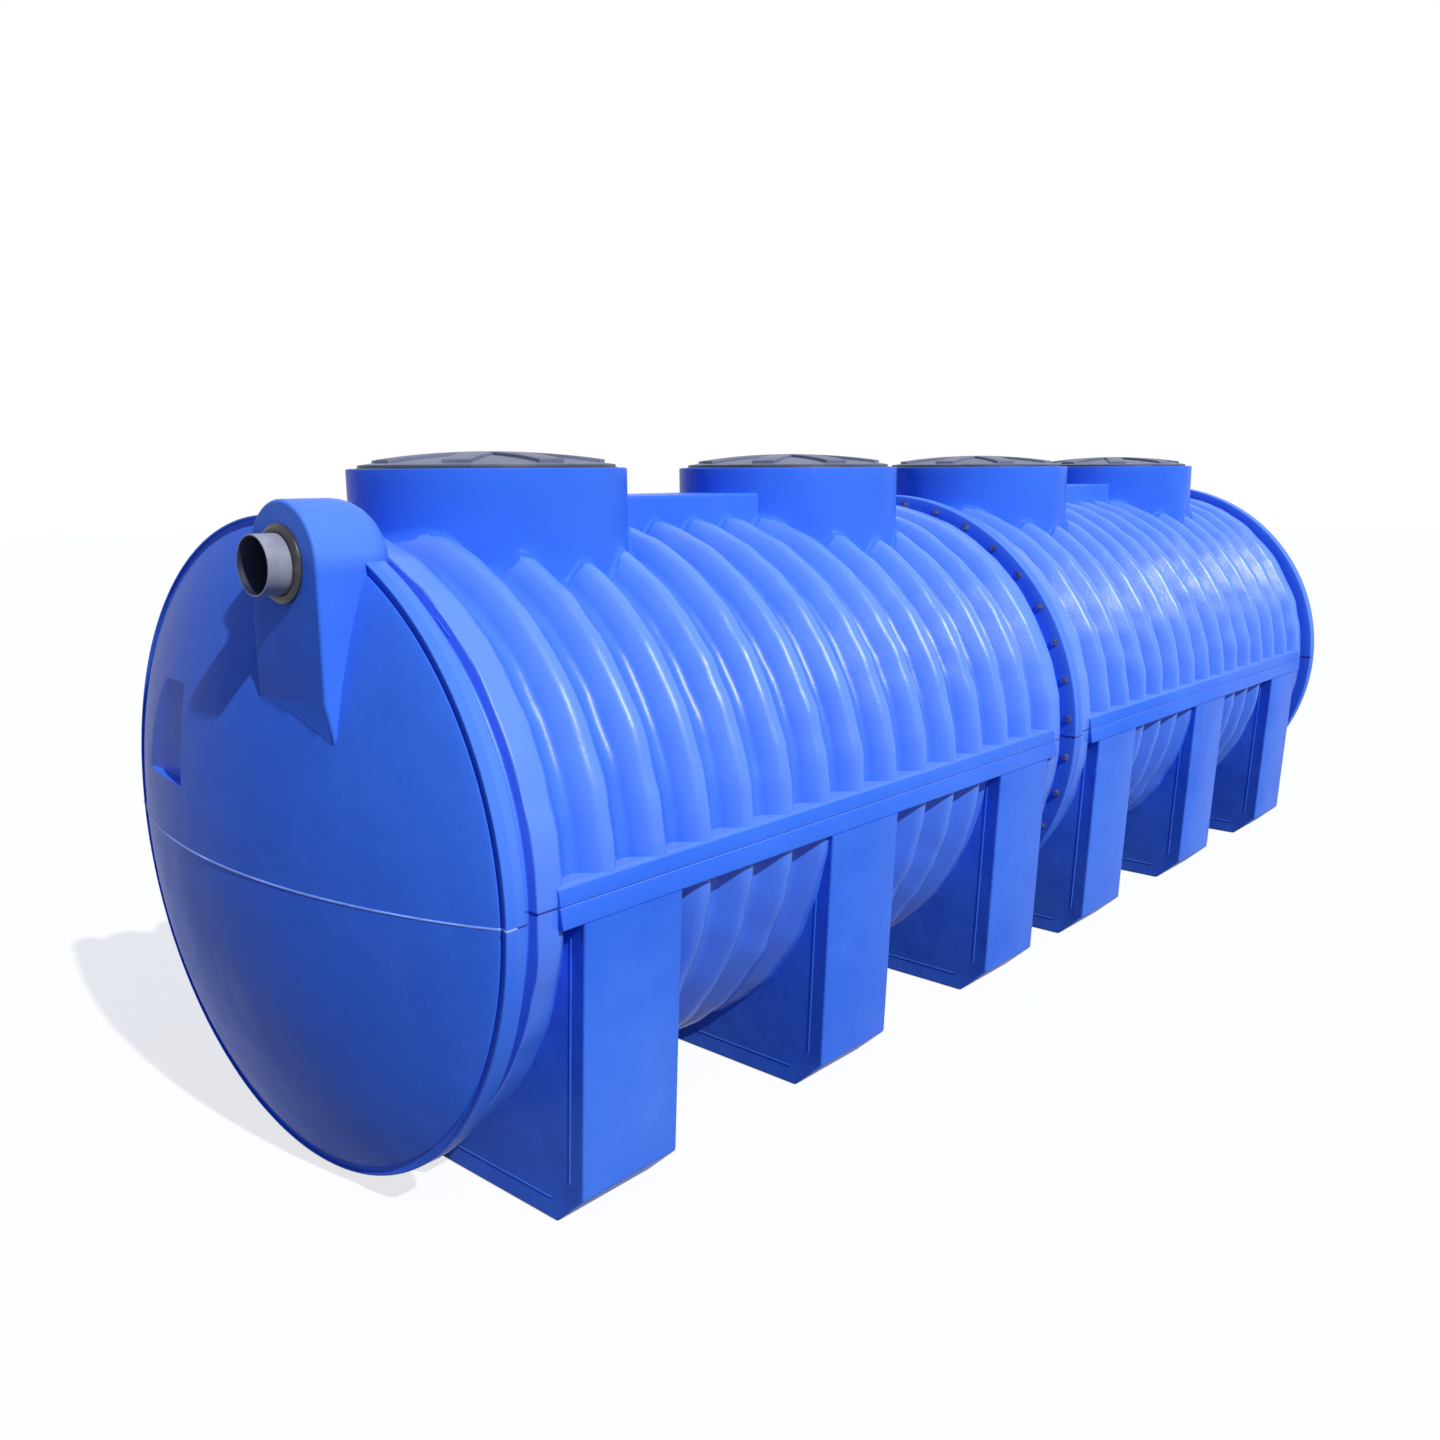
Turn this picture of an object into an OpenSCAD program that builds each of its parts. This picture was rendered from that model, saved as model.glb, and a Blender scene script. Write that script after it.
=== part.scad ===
// Horizontal septic tank, moulded in plastic.
// Two like ribbed modules are bolted end to end, and a domed end closes each
// end of the row. Each module stands on three saddle legs and has two round
// manholes with ribbed lids. X runs along the tank, with the inlet at -X.
// Z = 0 is the ground and X = 0 is the joint between the two modules.

/* [Module] */
// Length of one module over its end flanges
module_l = 2090; // [2020:10:2600]
// Height of the barrel's axis above the ground
axis_h = 690; // [690:5:900]
// Radius of the barrel at the crests of its ribs
crest_r = 650; // [600:5:655]
// Depth of the ribs from crest to valley
rib_depth = 44; // [10:1:60]
// Distance from one rib to the next
rib_pitch = 133; // [100:1:133]
// Length of the flat on each crest and in each valley
rib_flat = 26; // [10:1:40]
// Wall thickness of the barrel, necks and domed ends
wall_t = 10; // [6:1:16]

/* [Flanges] */
// How far the bolting flanges stand out past the ribs' crests
flange_out = 25; // [22:1:35]
// Thickness of one bolting flange
flange_t = 22; // [15:1:40]
// Width of the groove behind each flange, where the nuts sit
groove_w = 46; // [20:1:50]
// Depth of that groove below the flange's outer radius
groove_depth = 52; // [40:1:70]

/* [Domed ends] */
// Rise of a domed end's crown above its own flange
dome_rise = 135; // [90:1:160]
// Width of the flat ring between the dome's edge and its flange's edge
dome_ring = 20; // [15:1:40]
// How far the floor of the dome's shallow pocket stands out of its flange
pocket_out = 58; // [40:1:75]
// Inner side of the pocket, from the tank's middle plane
pocket_side = 236; // [150:1:300]
// Width of the pocket
pocket_w = 320; // [250:1:360]
// Height of the pocket's lower edge above the barrel's axis
pocket_low = 117; // [60:1:160]
// Height of the pocket
pocket_h = 213; // [150:1:240]

/* [Manholes] */
// Outer radius of a manhole neck
neck_r = 307; // [260:1:320]
// Height of the neck's rim above the ribs' crests
neck_rise = 110; // [70:1:250]
// Distance from a module's end to the axis of its nearer neck
neck_end = 513; // [480:1:560]
// Width of the ledge inside a neck's rim, which carries the seal and the lid
ledge_w = 69; // [50:1:90]
// Half the width of the raised bridge between two necks
bridge_half_w = 125; // [80:1:180]
// Height of the bridge's flat top above the ribs' crests
bridge_rise = 45; // [20:1:60]
// How far the edge of a lid lies inside the neck's outer wall
lid_inset = 25; // [18:1:45]
// Thickness of a lid at its edge
lid_t = 5; // [4:1:20]
// Rise of a lid's crown over its edge, ribs included
lid_rise = 30; // [15:1:60]
// Number of stiffening ribs on a lid
lid_ribs = 8; // [4:1:12]
// Thickness of the seal under a lid
gasket_t = 3; // [2:1:12]

/* [Legs and rails] */
// Width of a saddle leg, along the tank
leg_w = 258; // [200:2:300]
// Distance from a rail's end to the outermost leg
leg_inset = 52; // [0:1:120]
// How far the rails stand out past the ribs' crests
rail_out = 14; // [8:1:22]
// How far the outer face of a leg leans in from its top to the chamfer
leg_lean = 28; // [0:1:60]
// Height of the chamfer along the foot of a leg
chamfer_h = 74; // [20:1:120]
// Width of that chamfer
chamfer_w = 80; // [20:1:120]
// Height of the rails' lower face below the barrel's axis
rail_drop = 52; // [20:1:80]
// Height of the rails' upper face above the barrel's axis
rail_rise = 26; // [10:1:60]

/* [Pipes] */
// Outer radius of the inlet and outlet pipes
pipe_r = 55; // [40:0.5:62.5]
// Wall thickness of the pipes
pipe_t = 3.2; // [2:0.1:5]
// Length of pipe that stands out of the boss
pipe_out = 56; // [30:1:120]
// Depth of the inlet pipe's axis below the top of the flange
inlet_drop = 81; // [70:1:115]
// How much lower the outlet pipe is than the inlet pipe
outlet_drop = 40; // [0:1:60]
// Distance of the pipes from the tank's middle plane
pipe_side = 203; // [150:1:230]
// Radius of the arched top of the boss round a pipe
boss_r = 114; // [105:1:125]
// How far the boss stands out of the flange's front face
boss_out = 98; // [80:1:110]
// Length of the boss from the inlet pipe's axis down to its lower end
boss_h = 324; // [260:1:390]
// Outer radius of the rubber seal round a pipe
seal_r = 72; // [66:1:80]
// How far the seal stands out of the boss
seal_out = 12; // [5:1:20]
// How much slimmer the pipe is where the seal grips it
seal_grip = 1; // [0.6:0.1:1.5]

/* [Hidden] */

blue = [0.20, 0.42, 0.90];
blue_dark = [0.14, 0.32, 0.78];
grey = [0.45, 0.46, 0.52];
pipe_grey = [0.66, 0.66, 0.68];
black = [0.06, 0.06, 0.07];

near = -1;
far = 1;
round_fn = 96;
past = 10;                                // how far a cutter runs past what it cuts

rib_n = floor((module_l - 2 * (flange_t + groove_w) - rib_pitch / 2) / rib_pitch);
rib_span = rib_n * rib_pitch;             // from the first crest to the last
flange_r = crest_r + flange_out;
groove_r = flange_r - groove_depth;
valley_r = crest_r - rib_depth;
shell_end = module_l / 2 - flange_t;      // where the shell meets its flange
groove_end = shell_end - groove_w;
rail_l = rib_span;
half_w = crest_r + rail_out;              // half the width over the rails
leg_pitch = (rail_l - leg_w) / 2 - leg_inset;
neck_gap = module_l - 2 * neck_end;       // between the axes of a module's two necks
neck_top = axis_h + crest_r + neck_rise;
bridge_top = axis_h + crest_r + bridge_rise;
ledge_r = neck_r - ledge_w;
lid_r = neck_r - lid_inset;
inlet_rise = flange_r - inlet_drop;       // above the barrel's axis
boss_low = inlet_rise - boss_h;
dome_edge_r = flange_r - dome_ring;
sphere_r = (dome_edge_r * dome_edge_r + dome_rise * dome_rise) / (2 * dome_rise);
dome_x = module_l + flange_t;             // front face of a domed end's own flange
boss_x = dome_x + boss_out;
boss_back = module_l - flange_t - groove_w;
pipe_l = pipe_out + boss_out;
lid_z = neck_top + gasket_t;
rib_w = 62;                               // width of a stiffening rib on a lid
lid_margin = 26;                          // from the ribs' outer ends to the lid's edge
lid_rib_h = 7;                            // height of a rib above the lid's dome
lid_steps = 6;                            // rings of flats that make the lid's dome

function mid_x(side) = side * module_l / 2;

// Barrel outline from -X to +X as [x, r], lowered by a depth for the inner face
function rib_points(r_off) = [
  for (i = [0:rib_n]) each [
    if (i > 0) [(i - 0.5) * rib_pitch - rib_span / 2 + rib_flat / 2 , valley_r - r_off],
    if (i > 0) [i * rib_pitch - rib_span / 2 - rib_flat / 2, crest_r - r_off],
    if (i < rib_n) [i * rib_pitch - rib_span / 2 + rib_flat / 2, crest_r - r_off],
    if (i < rib_n) [(i + 0.5) * rib_pitch - rib_span / 2 - rib_flat / 2, valley_r - r_off]
  ]
];
function barrel_points(r_off) = concat(
  [[-shell_end, groove_r - r_off], [-groove_end + r_off, groove_r - r_off],
   [-groove_end + r_off, crest_r - r_off]],
  rib_points(r_off),
  [[groove_end - r_off, crest_r - r_off], [groove_end - r_off, groove_r - r_off],
   [shell_end, groove_r - r_off]]
);
function flip(points) = [for (i = [len(points) - 1:-1:0]) points[i]];
function as_profile(points) = [for (p = points) [p[1], p[0]]];

// Turns a profile of [radius, along] about the barrel's axis
module about_axis() {
  translate([0, 0, axis_h]) rotate([0, 90, 0]) rotate_extrude($fn = round_fn) children();
}
module barrel_solid() {
  about_axis() polygon(as_profile(concat(
    [[-shell_end, 0]], barrel_points(0), [[shell_end, 0]])));
}
module barrel_shell() {
  about_axis() polygon(as_profile(concat(barrel_points(0), flip(barrel_points(wall_t)))));
}
module upper_space() {
  translate([-module_l, -module_l, axis_h]) cube([2 * module_l, 2 * module_l, module_l]);
}
module lower_space() {
  translate([-module_l, -module_l, axis_h - module_l]) cube([2 * module_l, 2 * module_l, module_l]);
}
module at_necks() {
  for (s = [-1, 1]) translate([s * neck_gap / 2, 0, 0]) children();
}

module upper_shell(side) {
  color(blue) translate([mid_x(side), 0, 0]) difference() {
    intersection() {
      barrel_shell();
      upper_space();
    }
    at_necks() translate([0, 0, axis_h]) cylinder(r = neck_r - wall_t, h = module_l, $fn = round_fn);
  }
}
module lower_shell(side) {
  color(blue) translate([mid_x(side), 0, 0]) intersection() {
    barrel_shell();
    lower_space();
  }
}

// Bolting flange at one end of a module: end is -1 for -X and 1 for +X.
// The two outermost flanges are notched where the boss of the domed end lies.
module flange(side, end) {
  x = mid_x(side) + end * (module_l - flange_t) / 2;
  color(blue_dark) difference() {
    translate([x, 0, 0]) about_axis()
      translate([groove_r - wall_t, -flange_t / 2])
        square([flange_r - groove_r + wall_t, flange_t]);
    if (side == end) end_turn(side) whole_boss();
  }
}

// Rail along a module at mid height: y_side is -1 for -Y and 1 for +Y
module rail(side, y_side) {
  inner = sqrt(valley_r * valley_r - rail_drop * rail_drop) - wall_t;
  color(blue) translate([mid_x(side), 0, 0]) difference() {
    translate([-rail_l / 2, y_side > 0 ? inner : -half_w, axis_h - rail_drop])
      cube([rail_l, half_w - inner, rail_drop + rail_rise]);
    barrel_solid();
  }
}

// Saddle leg across the tank, with the barrel lying in it
module leg(side, index) {
  top_z = axis_h - rail_drop;
  chamfer_y = half_w - leg_lean;
  sole_y = chamfer_y - chamfer_w;
  color(blue) translate([mid_x(side) + (index - 2) * leg_pitch, 0, 0]) difference() {
    rotate([90, 0, 90]) linear_extrude(height = leg_w, center = true) polygon([
      [-half_w, top_z], [-chamfer_y, chamfer_h], [-sole_y, 0],
      [sole_y, 0], [chamfer_y, chamfer_h], [half_w, top_z]]);
    translate([-(index - 2) * leg_pitch, 0, 0]) barrel_solid();
  }
}

function neck_x(side, index) = mid_x(side) + (index - 1.5) * neck_gap;

// Round neck of a manhole, with a ledge turned inward at its rim
module neck(side, index) {
  color(blue) difference() {
    translate([neck_x(side, index), 0, 0]) difference() {
      translate([0, 0, axis_h]) cylinder(r = neck_r, h = neck_top - axis_h, $fn = round_fn);
      cylinder(r = neck_r - wall_t, h = neck_top - wall_t, $fn = round_fn);
      cylinder(r = ledge_r, h = neck_top + past, $fn = round_fn);
    }
    translate([mid_x(side), 0, 0]) barrel_solid();
  }
}
module gasket(side, index) {
  color(black) translate([neck_x(side, index), 0, neck_top]) difference() {
    cylinder(r = neck_r - wall_t / 2, h = gasket_t, $fn = round_fn);
    translate([0, 0, -past]) cylinder(r = ledge_r, h = gasket_t + 2 * past, $fn = round_fn);
  }
}
// Shallow dome of a lid, raised by the height of its ribs where they are
module lid_dome(raised) {
  rotate_extrude($fn = round_fn) polygon(concat([[0, 0], [lid_r, 0]],
    [for (i = [lid_steps:-1:0]) let(share = i / lid_steps)
      [lid_r * share, lid_t + raised + (lid_rise - lid_rib_h) * (1 - share * share)]]));
}
module lid(side, index, turn) {
  color(grey) translate([neck_x(side, index), 0, lid_z]) rotate([0, 0, turn]) {
    lid_dome(0);
    intersection() {
      for (i = [0:lid_ribs - 1]) rotate([0, 0, i * 360 / lid_ribs])
        translate([0, -rib_w / 2, 0]) cube([lid_r - lid_margin, rib_w, lid_t + lid_rise]);
      lid_dome(lid_rib_h);
    }
  }
}

// Raised hollow bridge along the crown between a module's two necks
module neck_bridge(side) {
  color(blue) translate([mid_x(side), 0, 0]) difference() {
    translate([-neck_gap / 2, -bridge_half_w, axis_h])
      cube([neck_gap, 2 * bridge_half_w, bridge_top - axis_h]);
    translate([-neck_gap / 2 - past, -bridge_half_w + wall_t, axis_h - past])
      cube([neck_gap + 2 * past, 2 * (bridge_half_w - wall_t), bridge_top - wall_t - axis_h + past]);
    barrel_solid();
    at_necks() translate([0, 0, axis_h]) cylinder(r = neck_r, h = module_l, $fn = round_fn);
  }
}

// Everything on a domed end is drawn at the inlet end. The outlet end is the
// same piece turned half round about Z, with its pipe a little lower.
module end_turn(side) {
  rotate([0, 0, side > 0 ? 180 : 0]) children();
}
function pipe_z(side) = axis_h + inlet_rise - (side > 0 ? outlet_drop : 0);

// Spherical cap in front of the end flange, lowered by a depth for the inner face
module cap(r_off) {
  translate([-dome_x, 0, 0]) about_axis() intersection() {
    translate([0, sphere_r - dome_rise]) circle(r = sphere_r - r_off, $fn = 6 * round_fn);
    translate([0, -2 * dome_rise]) square([dome_edge_r - r_off, 2 * dome_rise]);
  }
}
// Hollow of the cap, carried on through the end flange
module cap_hollow() {
  cap(wall_t);
  translate([-dome_x, 0, axis_h]) rotate([0, 90, 0])
    cylinder(r = dome_edge_r - wall_t, h = flange_t, $fn = round_fn);
}
// Arched prism from x_front back to x_back, both measured from X = 0
module boss_shape(r, low, x_front, x_back) {
  translate([-x_front, -pipe_side, axis_h]) rotate([90, 0, 90])
    linear_extrude(height = x_front - x_back) union() {
      translate([0, inlet_rise]) circle(r = r, $fn = round_fn);
      translate([-r, low]) square([2 * r, inlet_rise - low]);
    }
}
// Room of the shallow pocket beside the boss, grown by a wall for its back
module pocket(grown) {
  translate([-dome_x - pocket_out - module_l + grown, pocket_side - grown, axis_h + pocket_low - grown])
    cube([module_l, pocket_w + 2 * grown, pocket_h + 2 * grown]);
}
module pipe_bore(side, r) {
  translate([-boss_x - pipe_out - past, -pipe_side, pipe_z(side)]) rotate([0, 90, 0])
    cylinder(r = r, h = pipe_out + boss_out + past, $fn = round_fn);
}

// Shell of a domed end, with the pocket in it and a gap where the boss lies
module dome(side) {
  color(blue) end_turn(side) difference() {
    cap(0);
    pocket(0);
    whole_boss();
    difference() {
      cap_hollow();
      pocket(wall_t);
    }
  }
}
module whole_boss() {
  boss_shape(boss_r, boss_low, boss_x, boss_back);
}
// Hollow boss that carries a pipe, open to the dome and to the barrel
module boss(side) {
  color(blue) end_turn(side) difference() {
    whole_boss();
    boss_shape(boss_r - wall_t, boss_low + wall_t, boss_x - wall_t, boss_back + wall_t);
    cap_hollow();
    translate([-module_l / 2, 0, 0]) barrel_solid();
    translate([-module_l, 0, axis_h]) rotate([0, 90, 0])
      cylinder(r = groove_r - wall_t, h = flange_t + past, $fn = round_fn);
    pipe_bore(side, seal_r - wall_t);
  }
}
// Flange that a domed end is bolted on by, notched where the boss lies
module end_flange(side) {
  color(blue_dark) end_turn(side) difference() {
    translate([-dome_x, 0, 0]) about_axis()
      translate([dome_edge_r - wall_t, 0]) square([flange_r - dome_edge_r + wall_t, flange_t]);
    whole_boss();
  }
}
module seal(side) {
  color(black) end_turn(side) difference() {
    translate([-boss_x, -pipe_side, pipe_z(side)]) rotate([0, 90, 0]) union() {
      translate([0, 0, -seal_out]) cylinder(r = seal_r, h = seal_out, $fn = round_fn);
      cylinder(r = seal_r - wall_t, h = 2 * wall_t, $fn = round_fn);
    }
    pipe_bore(side, pipe_r - seal_grip);
  }
}
// Pipe with its free end in front of the seal and a slightly slimmer rest
module pipe(side) {
  color(pipe_grey) end_turn(side)
    translate([-boss_x - pipe_out, -pipe_side, pipe_z(side)]) rotate([0, 90, 0]) difference() {
      union() {
        cylinder(r = pipe_r, h = pipe_out - seal_out - seal_grip, $fn = round_fn);
        cylinder(r = pipe_r - seal_grip, h = pipe_l, $fn = round_fn);
      }
      translate([0, 0, -past]) cylinder(r = pipe_r - pipe_t, h = pipe_l + 2 * past, $fn = round_fn);
    }
}

upper_shell(near);  // near_upper_shell
lower_shell(near);  // near_lower_shell
upper_shell(far);  // far_upper_shell
lower_shell(far);  // far_lower_shell
flange(near, -1);  // near_front_flange
flange(near, 1);  // near_back_flange
flange(far, -1);  // far_front_flange
flange(far, 1);  // far_back_flange
rail(near, -1);  // near_right_rail
rail(near, 1);  // near_left_rail
rail(far, -1);  // far_right_rail
rail(far, 1);  // far_left_rail
leg(near, 1);  // near_leg_1
leg(near, 2);  // near_leg_2
leg(near, 3);  // near_leg_3
leg(far, 1);  // far_leg_1
leg(far, 2);  // far_leg_2
leg(far, 3);  // far_leg_3
neck(near, 1);  // near_neck_1
neck(near, 2);  // near_neck_2
neck(far, 1);  // far_neck_1
neck(far, 2);  // far_neck_2
lid(near, 1, 37);  // near_lid_1
lid(near, 2, 24);  // near_lid_2
lid(far, 1, 8);  // far_lid_1
lid(far, 2, 30);  // far_lid_2
gasket(near, 1);  // near_gasket_1
gasket(near, 2);  // near_gasket_2
gasket(far, 1);  // far_gasket_1
gasket(far, 2);  // far_gasket_2
neck_bridge(near);  // near_neck_bridge
neck_bridge(far);  // far_neck_bridge
dome(near);  // inlet_dome
dome(far);  // outlet_dome
boss(near);  // inlet_boss
boss(far);  // outlet_boss
end_flange(near);  // inlet_end_flange
end_flange(far);  // outlet_end_flange
seal(near);  // inlet_seal
seal(far);  // outlet_seal
pipe(near);  // inlet_pipe
pipe(far);  // outlet_pipe
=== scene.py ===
import bisect
import math
import bmesh
import bpy
from mathutils import Matrix, Vector, noise


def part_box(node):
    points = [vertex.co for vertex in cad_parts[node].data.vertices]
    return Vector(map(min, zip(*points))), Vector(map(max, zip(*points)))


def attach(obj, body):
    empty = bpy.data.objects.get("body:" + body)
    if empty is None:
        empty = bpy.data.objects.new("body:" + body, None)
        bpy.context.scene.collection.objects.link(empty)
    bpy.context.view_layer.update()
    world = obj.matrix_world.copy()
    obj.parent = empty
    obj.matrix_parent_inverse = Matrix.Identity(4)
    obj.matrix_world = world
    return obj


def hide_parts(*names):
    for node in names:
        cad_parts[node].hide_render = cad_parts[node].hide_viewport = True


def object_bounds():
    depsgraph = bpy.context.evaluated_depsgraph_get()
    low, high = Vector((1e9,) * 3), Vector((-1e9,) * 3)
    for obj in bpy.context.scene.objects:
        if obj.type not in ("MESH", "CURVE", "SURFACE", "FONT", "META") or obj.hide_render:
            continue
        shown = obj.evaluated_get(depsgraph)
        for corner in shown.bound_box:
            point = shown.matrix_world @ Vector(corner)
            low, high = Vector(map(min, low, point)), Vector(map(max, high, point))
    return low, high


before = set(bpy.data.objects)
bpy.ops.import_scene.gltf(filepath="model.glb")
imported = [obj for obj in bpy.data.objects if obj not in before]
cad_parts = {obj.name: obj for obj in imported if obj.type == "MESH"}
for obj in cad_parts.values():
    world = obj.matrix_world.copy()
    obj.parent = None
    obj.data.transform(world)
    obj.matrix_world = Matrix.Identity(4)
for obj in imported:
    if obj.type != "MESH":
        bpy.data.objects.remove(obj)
cadLow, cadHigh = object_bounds()
print("frame loaded with", len(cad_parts), "nodes")

sides = ("near", "far")
ends = {"inlet": -1, "outlet": 1}
hands = {"right": -1, "left": 1}
shellLow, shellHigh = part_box("near_upper_shell")
flangeLow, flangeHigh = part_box("near_back_flange")
axisHeight = shellLow.z
moduleMiddle = {side: sum(corner.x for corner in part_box(side + "_upper_shell")) / 2 for side in sides}

# distances under which two points are one, and the share of an edge that a rounding may use
joining = {"merge": 2e-5, "mergeAfterCut": 1e-5, "same": 1e-6, "mostOfEdge": 0.48}


# helpers for outlines and closed shapes

def roundedOutline(corners, steps, closed=False):
    # corners are (across, up, rounding); each becomes a short arc
    points = []
    for i, (across, up, rounding) in enumerate(corners):
        here = Vector((across, up))
        if rounding == 0 or (not closed and i in (0, len(corners) - 1)):
            points.append(here)
            continue
        before = Vector(corners[i - 1][:2]) - here
        after = Vector(corners[(i + 1) % len(corners)][:2]) - here
        turn = math.pi - before.angle(after)
        most = joining["mostOfEdge"] * min(before.length, after.length)
        reach = min(rounding * math.tan(turn / 2), most)
        start = here + before.normalized() * reach
        stop = here + after.normalized() * reach
        for step in range(steps + 1):
            share = step / steps
            points.append(start.lerp(here, share).lerp(here.lerp(stop, share), share))
    return points


def chainOf(bm, places, closed=False):
    verts = [bm.verts.new(place) for place in places]
    pairs = zip(verts, verts[1:] + verts[:1]) if closed else zip(verts, verts[1:])
    return verts, [bm.edges.new(pair) for pair in pairs]


def turned(outline, steps, middle=(0, 0), height=None, closed=True):
    # spins an outline of (radius, up) about a vertical line, or about the barrel's axis where height is None
    bm = bmesh.new()
    if height is None:
        places = [(point.y, 0, axisHeight + point.x) for point in outline]
        centre, axis = (0, 0, axisHeight), (1, 0, 0)
    else:
        places = [(middle[0] + point.x, middle[1], height + point.y) for point in outline]
        centre, axis = (middle[0], middle[1], 0), (0, 0, 1)
    verts, edges = chainOf(bm, places, closed)
    bmesh.ops.spin(bm, geom=verts + edges, cent=centre, axis=axis, angle=math.tau, steps=steps,
                   use_merge=True)
    return tidied(bm)


def tidied(bm):
    bmesh.ops.remove_doubles(bm, verts=bm.verts, dist=joining["merge"])
    bmesh.ops.dissolve_degenerate(bm, edges=bm.edges, dist=joining["same"])
    bmesh.ops.recalc_face_normals(bm, faces=bm.faces)
    return bm


def prism(outline, lowX, highX):
    # an outline of (y, z) drawn out along X
    bm = bmesh.new()
    face = bm.faces.new([bm.verts.new((lowX, point[0], point[1])) for point in outline])
    grown = bmesh.ops.extrude_face_region(bm, geom=[face])["geom"]
    moved = [v for v in grown if isinstance(v, bmesh.types.BMVert)]
    bmesh.ops.translate(bm, verts=moved, vec=(highX - lowX, 0, 0))
    bmesh.ops.recalc_face_normals(bm, faces=bm.faces)
    return bm


def rounded(bm, offset, segments, keep=lambda edge: True, angle=25):
    edges = [e for e in bm.edges if e.calc_face_angle(0) > math.radians(angle) and keep(e)]
    bmesh.ops.bevel(bm, geom=edges, offset=offset, segments=segments, profile=0.5,
                    affect="EDGES", clamp_overlap=True, material=-1)
    return bm


def combined(base, tool, how="DIFFERENCE"):
    # cuts, joins or intersects two closed shapes; both are used up
    made = []
    for bm in (base, tool):
        mesh = bpy.data.meshes.new("part")
        bm.to_mesh(mesh)
        bm.free()
        made.append(bpy.data.objects.new("part", mesh))
        bpy.context.scene.collection.objects.link(made[-1])
    modifier = made[0].modifiers.new("part", "BOOLEAN")
    modifier.object = made[1]
    modifier.operation = how
    modifier.solver = "MANIFOLD"
    result = bmesh.new()
    result.from_object(made[0], bpy.context.evaluated_depsgraph_get())
    for part in made:
        mesh = part.data
        bpy.data.objects.remove(part)
        bpy.data.meshes.remove(mesh)
    bmesh.ops.remove_doubles(result, verts=result.verts, dist=joining["mergeAfterCut"])
    return result


def placed(name, bm, material, nodes=(), smoothBelow=32):
    # smooth faces, with a crease where two of them meet at a sharper angle
    mesh = bpy.data.meshes.new(name)
    for face in bm.faces:
        face.smooth = True
    for edge in bm.edges:
        edge.smooth = edge.calc_face_angle(0) < math.radians(smoothBelow)
    bm.to_mesh(mesh)
    bm.free()
    piece = bpy.data.objects.new(name, mesh)
    bpy.context.scene.collection.objects.link(piece)
    mesh.materials.append(material)
    if nodes:
        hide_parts(*nodes)
    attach(piece, "root")
    return piece


# finishes

def nodeMaker(material):
    tree = material.node_tree

    def make(kind, links=None, **values):
        node = tree.nodes.new(kind)
        for key, value in values.items():
            if hasattr(node, key):
                setattr(node, key, value)
            else:
                node.inputs[key.replace("_", " ")].default_value = value
        for socket, source in (links or {}).items():
            tree.links.new(source, node.inputs[socket])
        return node
    return make


def ramp(make, source, low, high):
    # black below low, white above high
    node = make("ShaderNodeValToRGB", {"Fac": source})
    node.color_ramp.elements[0].position = low
    node.color_ramp.elements[1].position = high
    return node.outputs["Color"]


def mixColour(make, factor, first, second):
    node = make("ShaderNodeMix", data_type="RGBA")
    tree = node.id_data
    for socket, value in ((node.inputs[0], factor), (node.inputs[6], first), (node.inputs[7], second)):
        if isinstance(value, bpy.types.NodeSocket):
            tree.links.new(value, socket)
        else:
            socket.default_value = value
    return node.outputs[2]


def scaled(make, source, factor, added=0.0):
    node = make("ShaderNodeMath", {0: source}, operation="MULTIPLY_ADD")
    node.inputs[1].default_value = factor
    node.inputs[2].default_value = added
    return node.outputs[0]


plasticLook = {
    "colour": (0.058, 0.200, 0.86, 1),
    "deep": (0.040, 0.165, 0.80, 1),
    "mottleScale": 2.2, "mottleFrom": 0.35, "mottleTo": 0.68,
    "speck": (0.10, 0.24, 0.92, 1), "speckScale": 160.0, "speckShare": 0.08,
    "scuff": (0.42, 0.50, 0.86, 1), "scuffShare": 0.16, "scuffStretch": (9.0, 60.0, 2.2), "scuffScale": 2.0,
    # greyer tint low down: partly dust, partly a painted reflection of the ground
    "dustAndGroundReflection": (0.13, 0.15, 0.32, 1), "lowTintScale": 5.5, "lowTintBottom": 0.02, "dustRoughness": 0.5,
    # painted highlight for the upper rib crests and flange rims, not a colour of the plastic
    "crest": (0.14, 0.31, 0.92, 1), "crestBand": 0.030, "crestLow": 0.50, "crestHigh": 0.85,
    # painted sheen for faces that look up, not a colour of the plastic
    "ledge": (0.17, 0.33, 0.95, 1), "ledgeTilted": 0.55, "ledgeLevel": 0.95,
    "roughnessSpread": 0.16,
    "peelScale": 95.0, "peelDepth": 0.0011, "peelStrength": 0.35,
    "dentScale": 9.0, "dentDepth": 0.006, "dentStrength": 0.5,
}
# a paler copy of the plastic for the legs: painted light, standing in for their sunlit sides
litLegLook = {**plasticLook, "colour": (0.080, 0.235, 0.90, 1)}


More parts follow.
